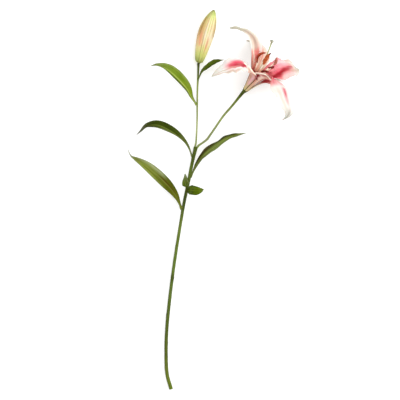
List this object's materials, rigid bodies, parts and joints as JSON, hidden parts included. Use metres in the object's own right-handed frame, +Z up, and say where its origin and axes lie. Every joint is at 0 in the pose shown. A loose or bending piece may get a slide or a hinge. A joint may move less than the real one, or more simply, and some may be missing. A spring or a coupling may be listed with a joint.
{
  "type": "cut lily",
  "caption": "Cut oriental lily lying on its side: a long leafy stem, an open pink and white flower and a closed bud.",
  "frame": {"origin": "centre of the object's footprint, on the surface it lies on", "axes": "+Y along the stem from the cut end towards the bud, +Z up from the surface, +X towards the open flower's side"},
  "size_m": [0.2757, 0.6061, 0.1268],
  "materials": {
    "stalk": "satin green stalk, darker near the flower and the bud",
    "leaf": "satin green leaf with fine veins that run its length",
    "petal_inner": "soft petal: crimson midrib, pink blush, ruffled white edge",
    "petal_outer": "soft petal: pink midrib stripe, cream back, white edge",
    "filament": "pale peach stalk",
    "anther": "dusty rust-brown pollen",
    "pistil": "pale green, smooth",
    "stigma": "dull grey-brown, slightly wet",
    "bud": "satin cream and green with peach and tan flushes"
  },
  "bodies": {
    "root": {"stem": "stalk", "bud_pedicel": "stalk", "flower_pedicel": "stalk", "leaf_lime": "leaf", "leaf_dark": "leaf", "leaf_olive": "leaf", "leaf_right": "leaf", "leaf_small": "leaf", "leaf_young_right": "leaf", "leaf_young_left": "leaf", "tepal_inner_1": "petal_inner", "tepal_inner_2": "petal_inner", "tepal_inner_3": "petal_inner", "tepal_outer_1": "petal_outer", "tepal_outer_2": "petal_outer", "tepal_outer_3": "petal_outer", "ovary": "pistil", "style": "pistil", "stigma": "stigma", "filament_1": "filament", "anther_1": "anther", "filament_2": "filament", "anther_2": "anther", "filament_3": "filament", "anther_3": "anther", "filament_4": "filament", "anther_4": "anther", "filament_5": "filament", "anther_5": "anther", "filament_6": "filament", "anther_6": "anther", "bud_outer_1": "bud", "bud_inner_1": "bud", "bud_outer_2": "bud", "bud_inner_2": "bud", "bud_outer_3": "bud", "bud_inner_3": "bud"}
  },
  "joints": []
}
